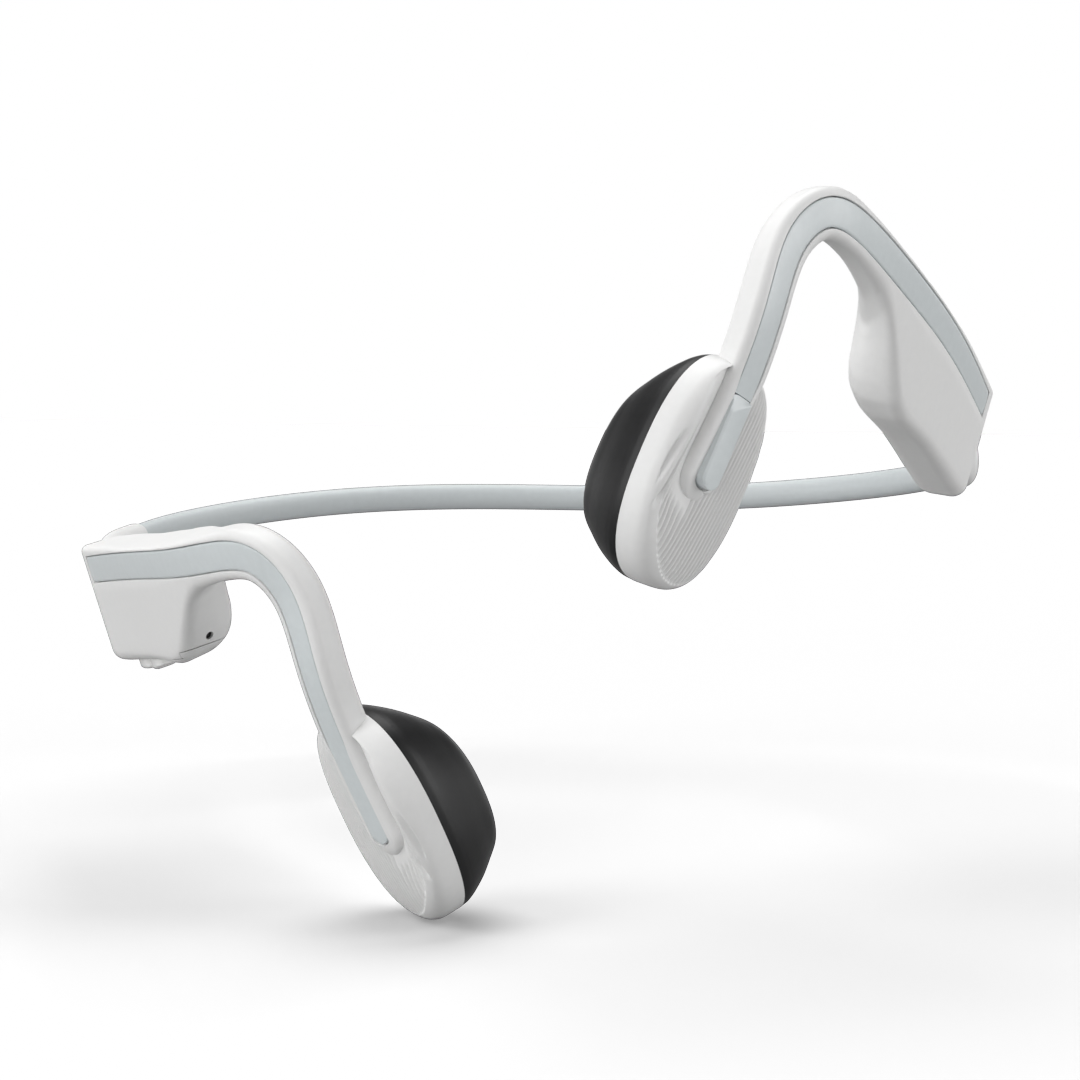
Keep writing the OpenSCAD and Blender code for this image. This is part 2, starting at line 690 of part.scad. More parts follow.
yoke(-1);  // right_yoke
magnet(-1);  // right_magnet
pole_plate(-1);  // right_pole_plate
voice_coil(-1);  // right_voice_coil
suspension(-1);  // right_suspension
vibration_plate(-1);  // right_vibration_plate
battery_cell();
battery_board();
multifunction_button();
multifunction_switch();
main_board();
shield_can();
charging_socket();
microphone();
volume_button(1);  // volume_up_button
volume_button(0);  // volume_down_button
volume_switches();
port_cover();
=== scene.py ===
import json
import math

import bpy
import numpy as np
from mathutils import Matrix, Vector


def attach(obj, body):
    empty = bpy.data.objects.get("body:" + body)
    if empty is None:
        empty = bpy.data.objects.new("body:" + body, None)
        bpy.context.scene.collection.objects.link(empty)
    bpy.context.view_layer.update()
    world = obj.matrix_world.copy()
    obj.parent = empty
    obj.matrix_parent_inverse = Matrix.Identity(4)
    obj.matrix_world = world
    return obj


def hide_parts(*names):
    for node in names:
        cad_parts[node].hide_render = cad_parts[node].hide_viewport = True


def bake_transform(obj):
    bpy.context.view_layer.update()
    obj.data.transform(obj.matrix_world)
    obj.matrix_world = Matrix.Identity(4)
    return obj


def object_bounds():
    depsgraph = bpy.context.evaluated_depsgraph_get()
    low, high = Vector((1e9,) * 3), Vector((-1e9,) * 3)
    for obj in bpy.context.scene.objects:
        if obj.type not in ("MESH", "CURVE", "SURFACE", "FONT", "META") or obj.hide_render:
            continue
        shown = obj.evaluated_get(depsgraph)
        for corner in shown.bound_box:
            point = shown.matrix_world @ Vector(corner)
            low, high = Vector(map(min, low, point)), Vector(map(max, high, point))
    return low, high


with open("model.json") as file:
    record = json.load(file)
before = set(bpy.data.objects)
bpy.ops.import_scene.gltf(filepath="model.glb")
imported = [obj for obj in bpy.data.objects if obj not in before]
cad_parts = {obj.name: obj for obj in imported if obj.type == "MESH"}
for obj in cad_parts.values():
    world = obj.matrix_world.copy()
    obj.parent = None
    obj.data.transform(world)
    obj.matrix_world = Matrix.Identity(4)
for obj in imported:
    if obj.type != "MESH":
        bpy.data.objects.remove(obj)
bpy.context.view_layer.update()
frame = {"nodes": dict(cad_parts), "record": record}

MM = 0.001
SIDES = {"left": 1, "right": -1}
CREASE_DEG = 38

# ---- The part's own dimensions ----

# Neckband: the twist at each end, the section, and the guide points of one half's
# centreline, along which a place runs from 0 at the middle to 1 at the end
BAND_TWIST = 10
BAND_H = 4.9
BAND_T = 3.8
BAND_CURVE = np.array([[0, 0], [39, 0], [94.4, -29], [64.8, -76]], float)
BAND_END_X = 65.5
LINK_JOIN = 0.11
# The white neck over the band's end, and where the band stops inside it
NECK_FROM = 0.7
NECK_TO = 1.02
NECK_LIP = 0.012
BAND_STOP = 0.86

ARM_AT = np.array([71, -80, 5], float)
ARM_TURN_DEG = (-12, -14, -115.5)
# Guide points of the strip's centreline in the arm frame, and how its face leans
# forward and upward at each. A place on the strip counts these points.
STRIP_CURVE = [[-0.5, 0, 0], [16.5, 0.5, 0.5], [31.5, 0, 0.5], [47.5, -1.5, 0],
               [60.5, -4, 0.5], [67, -6.5, -0.5], [69.5, -9, -7], [70, -8, -16.5],
               [67.5, -9.5, -27.5], [67.5, -12, -42.5]]
STRIP_LEAN = [[0, 0], [0, -0.08], [0.04, -0.1], [0.15, -0.15], [0.22, -0.05],
              [0.52, -0.15], [0.33, -0.08], [0.24, 0], [0.3, -0.2], [0.3, -0.12]]
# Distance between two guide points at the strip's ends
LEAD_IN = 17
STRIP_W = 4.1
STRIP_TIP_W = 3.6
STRIP_T = 0.9
STRIP_GAP = 0.17
END_CORNER = 0.6
TIP_RADIUS = 1.8
BEAD_RADIUS = 3.3
# Places on the strip: its rear end, its groove's rear end, the multifunction button's
# upper end, the strip's tip and the tip of the white bead round it
STRIP_FROM = 0.12
GROOVE_FROM = STRIP_FROM - 0.0112
BUTTON_FROM = 8.1
STRIP_END = 8.99
BEAD_TO = 9.12
# Height of the skin's outer face over the strip's centreline
FACE = 0.3

# Skin section along the strip: place, rise above the centreline, drop below it,
# depth, outer and inner corner radius, and backward lag of the underside's inner edge
D = 16.4
T = 9.2
SKIN_KEYS = np.array([
    [-0.13, 3.9, D - 1.3, T, 1.0, 4.2, 0.2],
    [0.02, 3.9, D - 0.9, T, 1.1, 4.4, 0.2],
    [0.30, 3.7, D - 0.8, T, 1.1, 4.4, 0.1],
    [1.10, 3.2, D - 0.8, T, 1.0, 4.4, 0],
    [1.85, 2.8, D - 0.3, T, 1.0, 4.4, 0],
    [2.10, 2.8, D - 1.2, T, 1.0, 4.2, -0.3],
    [2.28, 2.8, D - 2.8, T, 1.1, 4.0, 0.8],
    [2.44, 2.8, D - 4.6, T - 0.2, 1.2, 3.8, 2.4],
    [2.60, 2.8, D - 6.4, T - 0.3, 1.2, 3.6, 4.3],
    [2.80, 2.9, D - 8.6, T - 0.5, 1.2, 3.3, 6.6],
    [3.05, 2.9, D - 10.6, T - 1.0, 1.2, 2.8, 8.8],
    [3.40, 3.0, D - 12.0, T - 2.6, 1.2, 2.3, 8.2],
    [3.90, 3.2, 3.7, T - 4.4, 1.2, 2.2, 2.0],
    [4.50, 3.5, 3.6, 4.5, 1.2, 2.1, 0],
    [5.50, 3.4, 3.6, 4.7, 1.2, 2.2, 0],
    [7.00, 3.4, 3.5, 4.7, 1.2, 2.2, 0],
    [7.80, 3.4, 3.3, 4.6, 1.2, 2.1, 0],
    [8.20, 3.5, 2.6, 4.3, 1.3, 1.5, 0],
    [9.40, 3.7, 2.3, 3.8, 1.3, 1.3, 0]])
REAR_END = -0.06
REAR_RADIUS = 0.9

# Pod frame in the arm frame: X forward, Y outward, Z up the pod. Its outline is a
# superellipse of the power and half sizes below.
POD_AT = np.array([64.6, -11.9, -41.4])
POD_LEAN = (0.06, -0.2)
POD_TILT = 0.14
POD_POWER = 2.4
POD_A = 15.8
POD_B = 11.3
# Pod sections: depth, half length and half width as a share, offset upwards
SHELL_KEYS = np.array([[-0.62, 0, 0, 0.8], [-0.5, 0.45, 0.42, 0.8], [-0.3, 0.72, 0.66, 0.9],
                       [0.2, 0.88, 0.83, 1], [1, 0.955, 0.93, 1], [2.4, 0.99, 0.985, 1],
                       [4.95, 1, 1, 1]])
PAD_KEYS = np.array([[5, 0.998, 0.998, 1], [5.9, 0.99, 0.99, 0.9], [6.8, 0.97, 0.97, 0.8],
                     [9.2, 0.88, 0.88, 0.4], [11.6, 0.76, 0.76, 0], [13.8, 0.62, 0.63, -0.5],
                     [15, 0.45, 0.45, -1], [15.5, 0.25, 0.24, -1.3], [15.6, 0, 0, -1.3]])
RIB_PITCH = 0.9
RIB_DEPTH = 0.6
# Slope of the strip, and so of the ribs, in the pod's own plane, and the strip's place
# across the ribs
RIB_SLOPE = 0.15
STRIP_ON_POD = 2.95
# Long folds in front of the strip: place across the ribs, upper and lower end
FOLDS = [(8.9, 8, -6), (10.6, 6, -9)]
FOLD_DEPTH = 0.8

# Controls of the right housing, in the arm frame: the two volume keys in its underside,
# the charging port's cover in front of them and the microphone in its front
BOTTOM = -15.9
BUTTONS_X = [(4.6, 11), (11.8, 18.2)]
BUTTON_Y = (-5.8, -1.6)
BUTTON_PROUD = 1.1
PORT_X = 19.4
PORT_Y = (-7.6, -1.4)
CAP_Z = BOTTOM + 1.5
CORNER_X = 31
CORNER_Z = BOTTOM + 2.6
MICROPHONE_AT = (35, -6, -12)
MICROPHONE_R = 0.65
MICROPHONE_TILT = -10
# Cover on the inner side of each housing, and the seam round it and the port's cover
COVER_X = (-0.1, 33.9)
COVER_Z = (-14.1, 1.2)
COVER_T = 1.2
SEAM = 0.1


# ---- Vectors, curves and meshes ----

def turn(axis, degrees):
    """Rotation matrix about one axis."""
    return np.array(Matrix.Rotation(math.radians(degrees), 3, axis))


ARM_TURN = turn("Z", ARM_TURN_DEG[2]) @ turn("Y", ARM_TURN_DEG[1]) @ turn("X", ARM_TURN_DEG[0])


def unit(a):
    """Vectors of length one in the last axis."""
    return a / np.linalg.norm(a, axis=-1, keepdims=True)


def placed(points, side):
    """Points of the arm frame in the row frame."""
    world = (ARM_AT + np.asarray(points, float) @ ARM_TURN.T) * np.array([side, 1, 1])
    return world @ turn("X", -side * BAND_TWIST).T


def guided(points, v):
    """Points at v on the smooth curve that a list of points guides."""
    points = np.array(points, float)
    last = len(points) - 1
    ends = np.vstack([2 * points[0] - points[1], points, 2 * points[-1] - points[-2]])
    i = np.clip(np.floor(v), 0, last - 1).astype(int)
    s = (v - i)[:, None]
    return ((1 - s) ** 3 * ends[i] + (3 * s**3 - 6 * s**2 + 4) * ends[i + 1]
            + (-3 * s**3 + 3 * s**2 + 3 * s + 1) * ends[i + 2] + s**3 * ends[i + 3]) / 6


def between(table, at):
    """Rows of a table at places in its first column, without overshoot between keys."""
    x = table[:, 0]
    y = table[:, 1:]
    step = np.diff(x)[:, None]
    rise = np.diff(y, axis=0) / step
    slope = np.zeros_like(y)
    same = rise[1:] * rise[:-1] > 0
    total = np.where(same, rise[1:] + rise[:-1], 1)
    slope[1:-1] = np.where(same, 2 * rise[1:] * rise[:-1] / total, 0)
    slope[0], slope[-1] = rise[0], rise[-1]
    at = np.clip(at, x[0], x[-1])
    i = np.clip(np.searchsorted(x, at, side="right") - 1, 0, len(x) - 2)
    u = ((at - x[i]) / np.diff(x)[i])[:, None]
    h = step[i]
    return ((2 * u**3 - 3 * u**2 + 1) * y[i] + (u**3 - 2 * u**2 + u) * h * slope[i]
            + (3 * u**2 - 2 * u**3) * y[i + 1] + (u**3 - u**2) * h * slope[i + 1])


def smoothstep(low, high, x):
    """0 up to low, 1 from high, and a smooth rise between."""
    u = np.clip((x - low) / (high - low), 0, 1)
    return u * u * (3 - 2 * u)


def skin_of(rings, caps=(True, True)):
    """Points and faces through rings, an array of rings by points by 3."""
    rows, columns = rings.shape[:2]
    index = np.arange(rows * columns).reshape(rows, columns)
    after = np.roll(index, -1, axis=1)
    quads = np.stack([index[:-1], after[:-1], after[1:], index[1:]], axis=-1)
    faces = quads.reshape(-1, 4).tolist()
    if caps[0]:
        faces.append(index[0][::-1].tolist())
    if caps[1]:
        faces.append(index[-1].tolist())
    return rings.reshape(-1, 3), faces


def volume(mesh):
    """Volume inside a mesh, negative when its faces point inwards."""
    mesh.calc_loop_triangles()
    triangles = np.empty(3 * len(mesh.loop_triangles), int)
    mesh.loop_triangles.foreach_get("vertices", triangles)
    points = np.empty(3 * len(mesh.vertices))
    mesh.vertices.foreach_get("co", points)
    points = points.reshape(-1, 3) - points.reshape(-1, 3).mean(axis=0)
    a, b, c = points[triangles.reshape(-1, 3)].transpose(1, 0, 2)
    return np.sum(a * np.cross(b, c)) / 6


def piece(name, points, faces, material, body, crease=CREASE_DEG):
    """A mesh object from points in millimetres in the row frame, riding on a body."""
    mesh = bpy.data.meshes.new(name)
    mesh.from_pydata((np.asarray(points) * MM).tolist(), [], faces)
    if volume(mesh) < 0:
        mesh.clear_geometry()
        mesh.from_pydata((np.asarray(points) * MM).tolist(), [], [face[::-1] for face in faces])
    mesh.materials.append(material)
    obj = bpy.data.objects.new(name, mesh)
    bpy.context.scene.collection.objects.link(obj)
    smooth(obj, crease)
    if body:
        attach(obj, body)
    return obj


def smooth(obj, crease):
    """Shade smooth, apart from edges sharper than crease degrees."""
    obj.data.shade_smooth()
    obj.data.set_sharp_from_angle(angle=math.radians(crease))


def solid(name, rings):
    """Closed mesh through rings, left in the arm frame to be cut."""
    points, faces = skin_of(rings)
    return piece(name, points, faces, FINISHES["white_skin"], None)


def twin(obj, name):
    """A copy of an object with its own mesh."""
    other = bpy.data.objects.new(name, obj.data.copy())
    bpy.context.scene.collection.objects.link(other)
    return other


def cut(obj, cutter, operation="DIFFERENCE"):
    """Take the cutter from obj, or join it or keep what both share; the cutter is used up."""
    modifier = obj.modifiers.new("cut", "BOOLEAN")
    modifier.operation = operation
    modifier.solver = "EXACT"
    modifier.object = cutter
    bpy.context.view_layer.update()
    graph = bpy.context.evaluated_depsgraph_get()
    made = bpy.data.meshes.new_from_object(obj.evaluated_get(graph))
    obj.modifiers.clear()
    obj.data = made
    while len(made.materials) > 1:
        made.materials.pop()
    bpy.data.objects.remove(cutter)


def settle(obj, side, body):
    """Move a mesh from the arm frame to its side of the row frame, riding on a body."""
    mesh = obj.data
    points = np.empty(3 * len(mesh.vertices))
    mesh.vertices.foreach_get("co", points)
    moved = placed(points.reshape(-1, 3) / MM, side) * MM
    mesh.vertices.foreach_set("co", moved.ravel())
    if side < 0:
        mesh.flip_normals()
    mesh.update()
    smooth(obj, CREASE_DEG)
    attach(obj, body)


# ---- Materials ----

def finish_of(name, colour, roughness, grain=0.05, grain_size=900, bump=0.02, spread=0.06,
              specular=0.5, coat=0.0, metallic=0.0):
    """A finish whose colour, gloss and surface vary a little in an even grain."""
    material = bpy.data.materials.new(name)
    material.use_nodes = True
    nodes = material.node_tree.nodes
    links = material.node_tree.links
    shader = nodes["Principled BSDF"]
    shader.inputs["Metallic"].default_value = metallic
    shader.inputs["Specular IOR Level"].default_value = specular
    shader.inputs["Coat Weight"].default_value = coat
    shader.inputs["Coat Roughness"].default_value = 0.25
    place = nodes.new("ShaderNodeTexCoord")
    noise = nodes.new("ShaderNodeTexNoise")
    noise.inputs["Scale"].default_value = grain_size
    noise.inputs["Detail"].default_value = 4
    links.new(place.outputs["Object"], noise.inputs["Vector"])
    tint = nodes.new("ShaderNodeValToRGB")
    tint.color_ramp.elements[0].position = 0.3
    tint.color_ramp.elements[1].position = 0.7
    tint.color_ramp.elements[0].color = (*[c * (1 - grain) for c in colour], 1)
    tint.color_ramp.elements[1].color = (*[min(1, c * (1 + grain)) for c in colour], 1)
    links.new(noise.outputs["Fac"], tint.inputs["Fac"])
    links.new(tint.outputs["Color"], shader.inputs["Base Color"])
    gloss = nodes.new("ShaderNodeMapRange")
    gloss.inputs["To Min"].default_value = roughness - spread
    gloss.inputs["To Max"].default_value = roughness + spread
    links.new(noise.outputs["Fac"], gloss.inputs["Value"])
    links.new(gloss.outputs["Result"], shader.inputs["Roughness"])
    relief = nodes.new("ShaderNodeBump")
    relief.inputs["Strength"].default_value = bump
    relief.inputs["Distance"].default_value = 0.0002
    links.new(noise.outputs["Fac"], relief.inputs["Height"])
    links.new(relief.outputs["Normal"], shader.inputs["Normal"])
    return material


FINISHES = {
    "white_skin": finish_of("white_skin", (0.76, 0.76, 0.755), 0.46, grain=0.012, bump=0.05),
    "strip": finish_of("strip", (0.62, 0.66, 0.67), 0.3, grain=0.02, bump=0.01, spread=0.01),
    "band_silicone": finish_of("band_silicone", (0.53, 0.565, 0.575), 0.50, grain=0.02, bump=0.06),
    "pad": finish_of("pad", (0.009, 0.009, 0.0095), 0.42, grain=0.1, bump=0.08, specular=0.3),
    "button_gloss": finish_of("button_gloss", (0.82, 0.82, 0.81), 0.16, grain=0.01, coat=0.5),
    "gasket": finish_of("gasket", (0.05, 0.05, 0.05), 0.6),
    "cable": finish_of("cable", (0.03, 0.03, 0.03), 0.5),
    "component": finish_of("component", (0.03, 0.03, 0.03), 0.5),
    "vibration_plate": finish_of("vibration_plate", (0.05, 0.05, 0.05), 0.45),
    "spring_wire": finish_of("spring_wire", (0.62, 0.61, 0.60), 0.3, metallic=1),
    "transducer_steel": finish_of("transducer_steel", (0.50, 0.50, 0.50), 0.35, metallic=1),
    "tinned_steel": finish_of("tinned_steel", (0.66, 0.66, 0.66), 0.3, metallic=1),
    "magnet": finish_of("magnet", (0.6, 0.6, 0.62), 0.18, metallic=1),
    "coil_copper": finish_of("coil_copper", (0.72, 0.40, 0.22), 0.35, metallic=1),
    "cell_foil": finish_of("cell_foil", (0.70, 0.70, 0.72), 0.3, metallic=1),
    "circuit_board": finish_of("circuit_board", (0.03, 0.16, 0.07), 0.4, grain=0.2),
}


# ---- The strip's line and the skin round it ----

def strip_frame(v):
    """Places, forward, outward and upward directions at v on the strip."""
    last = len(STRIP_CURVE) - 1
    w = np.clip(v, 0.001, last - 0.001)
    forward = unit(guided(STRIP_CURVE, w + 0.001) - guided(STRIP_CURVE, w - 0.001))
    lean = guided(STRIP_LEAN, w)
    out = np.stack([lean[:, 0], np.ones(len(w)), lean[:, 1]], axis=1)
    outward = unit(out - forward * np.sum(out * forward, axis=1, keepdims=True))
    place = guided(STRIP_CURVE, w) + forward * ((v - w) * LEAD_IN)[:, None]
    return place, forward, outward, np.cross(forward, outward)


def on_strip(v, height, out, ahead=0.0):
    """Points at v from arrays of height above the centreline, outward offset and forward
    shift, each one row per v."""
    place, forward, outward, upward = [a[:, None, :] for a in strip_frame(v)]
    shift = np.broadcast_to(ahead, height.shape)
    return (place + upward * height[..., None] + outward * out[..., None]
            + forward * shift[..., None])


def strip_width(v):
    """The strip narrows steadily from the hook's crest to its tip."""
    return STRIP_W + (STRIP_TIP_W - STRIP_W) * np.maximum(0, v - 3) / 6


def arc(height, out, radius, start, count, depth_radius=None):
    """Quarter circles or ellipses about points, one row per v."""
    angle = np.radians(start + np.linspace(0, 90, count + 1))
    deep = radius if depth_radius is None else depth_radius
    return (height[:, None] + radius[:, None] * np.cos(angle),
            out[:, None] + deep[:, None] * np.sin(angle))


def groove_half(v):
    """Half width of the strip's groove, and where the groove has ended past the tip."""
    half = strip_width(v) / 2 + STRIP_GAP
    tip = STRIP_END + STRIP_GAP / LEAD_IN - TIP_RADIUS / LEAD_IN
    over = np.maximum(0, v - tip) * LEAD_IN
    reach = TIP_RADIUS + STRIP_GAP
    return half * np.sqrt(np.maximum(1e-6, 1 - (over / reach) ** 2)), over >= reach


def skin_rings(v, inset):
    """Rings of the skin at v, drawn in from the section by inset."""
    top, low, deep, ro, ri, lag = between(SKIN_KEYS, v).T
    past = np.maximum(0, v - (BEAD_TO - BEAD_RADIUS / LEAD_IN)) * LEAD_IN
    closing = np.sqrt(np.maximum(0.0004, 1 - (past / BEAD_RADIUS) ** 2))
    top = top * closing - inset
    low = inset - low * closing
    deep = inset - deep
    face = FACE - inset - 0.9 * smoothstep(8.15, 8.9, v) * (1 - closing)

    # The groove's half width and depth, and the small bevel at its lips
    ro = np.minimum(ro, (top - low) * 0.24)
    g, ended = groove_half(v)
    g = np.minimum(g, (top - low) / 2 - ro - 0.1)
    dug = np.where((v < GROOVE_FROM) | ended, 0.001, STRIP_T + 0.25)
    lip = np.minimum(0.1, dug)

    # Corner radii that leave room for the groove: lower outer, inner and upper outer
    rl = np.maximum(0.2, np.minimum(2 * ro, -low - g - 0.3))
    ri = np.minimum(ri, (top - low) * 0.45)
    rt = np.clip(top - g - lip - 0.05, 0.04, ro)
    share = np.linspace(0, 1, 8)[1:-1]

    def run(a, b):
        """Points between two section points, one row per v."""
        return tuple(p[:, None] + (q - p)[:, None] * share for p, q in zip(a, b))

    parts = [arc(top - rt, face - ro, rt, 0, 8, ro),
             run((top - rt, face), (g + lip, face)),
             (np.stack([g + lip, g + 0.3 * lip, g, g, -g, -g, -g - 0.3 * lip, -g - lip], 1),
              np.stack([face, face - 0.3 * lip, face - lip, face - dug,
                        face - dug, face - lip, face - 0.3 * lip, face], 1)),
             run((-g - lip, face), (low + rl, face)),
             arc(low + rl, face - rl, rl, 90, 8),
             run((low, face - rl), (low, deep + ri)),
             arc(low + ri, deep + ri, ri, 180, 12),
             run((low + ri, deep), (top - ri, deep)),
             arc(top - ri, deep + ri, ri, 270, 12),
             run((top, deep + ri), (top, face - ro))]
    height = np.concatenate([p[0] for p in parts], axis=1)
    out = np.concatenate([p[1] for p in parts], axis=1)
    drop = np.clip((top[:, None] - height) / (top - low)[:, None], 0, 1)
    inward = np.clip((face[:, None] - out) / (face - deep)[:, None], 0, 1)
    return on_strip(v, height, out, -lag[:, None] * drop * inward)


def rear_inset(v):
    """How far the rounding of the rear end draws the section in."""
    back = np.clip((REAR_RADIUS / LEAD_IN + REAR_END - v) * LEAD_IN / REAR_RADIUS, 0, 1)
    return REAR_RADIUS * (1 - np.sqrt(1 - (back * 0.985) ** 2))


def whole_skin():
    """Housing, hook and bead as one closed skin, in the arm frame."""
    v = np.concatenate([np.linspace(REAR_END, REAR_END + REAR_RADIUS / LEAD_IN, 12),
                        [STRIP_FROM - 0.05, GROOVE_FROM - 0.0003],
                        np.linspace(GROOVE_FROM + 0.0002, 1.95, 46), np.linspace(1.98, 4.1, 130),
                        np.linspace(4.15, 8.7, 150), np.linspace(8.715, BEAD_TO - 0.001, 46)])
    return solid("skin", skin_rings(v, rear_inset(v)))


def strip_bar(side, name, v_from, v_to, body, lift=None, round_tip=True, bevel=0.16):
    """The inlay strip between two places. lift(v, across) raises its face, and bevel is
    that of its front edge."""
    v = np.concatenate([v_from + 0.035 * np.linspace(0, 1, 12) ** 2,
                        np.linspace(v_from + 0.04, v_to - 0.12, 230),
                        v_to - 0.12 * (1 - np.sin(np.linspace(0.03, math.pi / 2, 22)))])
    half = strip_width(v) / 2
    start = np.clip(1 - (v - v_from) * LEAD_IN / END_CORNER, 0, 1)
    half = half - END_CORNER * (1 - np.sqrt(1 - start**2))
    if round_tip:
        over = np.maximum(0, v - (v_to - TIP_RADIUS / LEAD_IN)) * LEAD_IN
        half = half * np.sqrt(np.maximum(0.0009, 1 - (over / TIP_RADIUS) ** 2))
    rear = np.minimum(0.16, half * 0.4)
    front = np.minimum(bevel, half * 0.4)
    across = np.linspace(1, -1, 17) * np.ones(len(v))[:, None]
    middle = (half - rear)[:, None] + (2 * half - rear - front)[:, None] * (across - 1) / 2
    middle = middle + (rear - front)[:, None]
    crown = 0.07 * (1 - across**2)
    high = np.full((len(v), 1), FACE - 0.05)
    raised = high + crown
    edge = high[:, 0]
    if lift:
        raised = raised + lift(v[:, None], across)
        edge = edge + lift(v, 0 * v)
    low = np.full(len(v), FACE - STRIP_T - 0.15)
    height = np.column_stack([half, half, half - 0.35 * front, middle, 0.35 * rear - half,
                              -half, -half])
    out = np.column_stack([low, edge - front, edge - 0.3 * front, raised, edge - 0.35 * rear,
                           edge - rear, low])
    points, faces = skin_of(on_strip(v, height, out))
    return piece(name, placed(points, side), faces, FINISHES["strip"], body)


def button_lift(v, across):
    """Height of the multifunction button's face: a slanting ramp, then a slow rise to its
    tip."""
    ramp = 0.5 + 1.4 * (across + 1)
    start = smoothstep(0, 1, (v - BUTTON_FROM) * LEAD_IN / ramp)
    return 0.45 * start + 0.75 * smoothstep(BUTTON_FROM, STRIP_END + 0.2, v)


# ---- Pods ----

POD_OUT = unit(np.array([POD_LEAN[0], 1, POD_LEAN[1]]))
POD_UP = np.array([POD_TILT, 0, 1])
POD_UP = unit(POD_UP - POD_OUT * (POD_UP @ POD_OUT))
POD_FORWARD = np.cross(POD_OUT, POD_UP)


def on_pod(x, y, z):
    """Points of the pod frame in the arm frame."""
    return POD_AT + x[..., None] * POD_FORWARD + y[..., None] * POD_OUT + z[..., None] * POD_UP


def pod_rings(keys, t, count):
    """X, depth and Z of rings through section keys at t, counted in keys."""
    rows = between(np.column_stack([np.arange(len(keys)), keys]), t)
    depth, long, wide, up = [c[:, None] for c in rows.T]
    angle = np.linspace(0, 2 * math.pi, count, endpoint=False)
    c = np.cos(angle)
    s = np.sin(angle)
    x = np.sign(c) * np.abs(c) ** (2 / POD_POWER) * POD_B * wide
    z = np.sign(s) * np.abs(s) ** (2 / POD_POWER) * POD_A * long + up
    return x, depth + 0 * x, z


def strip_seat(x, depth, z, q):
    """Depth of the pod's face where the bead of the strip lies in it and slopes away."""
    strip_level = -0.38 + 0.233 * (x - 2.2) + 0.064 * (z - 5.3)
    flank = 0.4 + 0.9 * smoothstep(-6, 4, z)
    seat = strip_level + 0.12 + flank * smoothstep(0.5, 5.5, q)
    around = (1 - smoothstep(5.5, 10.5, q)) * smoothstep(-11, -3, z)
    return depth + np.maximum(0, seat - depth) * around


def ribs(x, z, q):
    """Depth of the grooves between the ribs, which stop at the rim and in front of the
    strip."""
    across = ((q - STRIP_ON_POD) / RIB_PITCH + 0.5) % 1 - 0.5
    groove = RIB_DEPTH * (1 - smoothstep(0, 0.48, np.abs(across)))
    powers = np.abs(x / POD_B) ** POD_POWER + np.abs((z - 1) / POD_A) ** POD_POWER
    radius = powers ** (1 / POD_POWER)
    limit = 0.93 - 0.09 * smoothstep(-2, 8, x)
    groove = groove * smoothstep(0, 0.05, limit - radius)
    in_front = smoothstep(-0.3, 0.3, q - STRIP_ON_POD)
    beside_tip = z - 0.6 * (q - STRIP_ON_POD)
    return groove * (1 - in_front * smoothstep(-6.5, -4, beside_tip))


def fold(z, q, centre, top, low):
    """Depth of one long fold that fades out at both ends."""
    near = 1 - smoothstep(0, 0.55, np.abs(q - centre))
    return FOLD_DEPTH * near * smoothstep(0, 3.5, top - z) * smoothstep(0, 3, z - low)


def face_relief(x, depth, z):
    """Depth of the pod's face with the strip's seat, the ribs and the folds."""
    q = x + RIB_SLOPE * z
    groove = ribs(x, z, q)
    for centre, top, low in FOLDS:
        groove = np.maximum(groove, fold(z, q, centre, top, low))
    return strip_seat(x, depth, z, q) + groove


def pod_shell(side, name, body):
    """The white shell of a pod, with the relief on its outer face."""
    t = np.concatenate([np.linspace(0.02, 0.98, 42), np.linspace(1, 3, 62),
                        np.linspace(3.03, 4.2, 24), np.linspace(4.25, 6, 22)])
    x, depth, z = pod_rings(SHELL_KEYS, t, 640)
    facing = 1 - smoothstep(3.9, 4.4, t)[:, None]
    depth = depth + (face_relief(x, depth, z) - depth) * facing
    points, faces = skin_of(on_pod(x, -depth, z))
    return piece(name, placed(points, side), faces, FINISHES["white_skin"], body)


def pod_pad(side, name, body):
    """The black pad of a pod. Its first ring is tucked in behind the shell."""
    t = np.concatenate([[0, 0.04], np.linspace(0.1, 7.98, 110)])
    x, depth, z = pod_rings(PAD_KEYS, t, 220)
    x[0] = x[0] * 0.985
    z[0] = (z[0] - 1) * 0.985 + 1
    points, faces = skin_of(on_pod(x, -depth, z))
    return piece(name, placed(points, side), faces, FINISHES["pad"], body)


# ---- Band and neck ----

def band_frame(s):
    """Level centreline points and headings of the band's left half."""
    b = BAND_CURVE
    s = s[:, None]
    place = ((1 - s) ** 3 * b[0] + 3 * s * (1 - s) ** 2 * b[1]
             + 3 * s**2 * (1 - s) * b[2] + s**3 * b[3])
    heading = unit((1 - s) ** 2 * (b[1] - b[0]) + 2 * s * (1 - s) * (b[2] - b[1])
                   + s**2 * (b[3] - b[2]))
    return place, heading


def band_rings(side, s, half_t, half_h, up, count=48, power=2.3):
    """Rings round the band, twisted as it lies, from half sizes per ring."""
    place, heading = band_frame(s)
    angle = np.linspace(0, 2 * math.pi, count, endpoint=False)
    c = np.cos(angle)
    n = np.sin(angle)
    out = np.sign(c) * np.abs(c) ** (2 / power) * half_t[:, None]
    z = np.sign(n) * np.abs(n) ** (2 / power) * half_h[:, None] + up[:, None]
    x = side * (place[:, :1] - heading[:, 1:] * out)
    y = place[:, 1:] + heading[:, :1] * out
    u = np.clip(x / BAND_END_X, -1, 1)
    a = np.radians(-BAND_TWIST * u * (1.5 - 0.5 * u * u))
    return np.stack([x, y * np.cos(a) - z * np.sin(a), y * np.sin(a) + z * np.cos(a)], axis=-1)


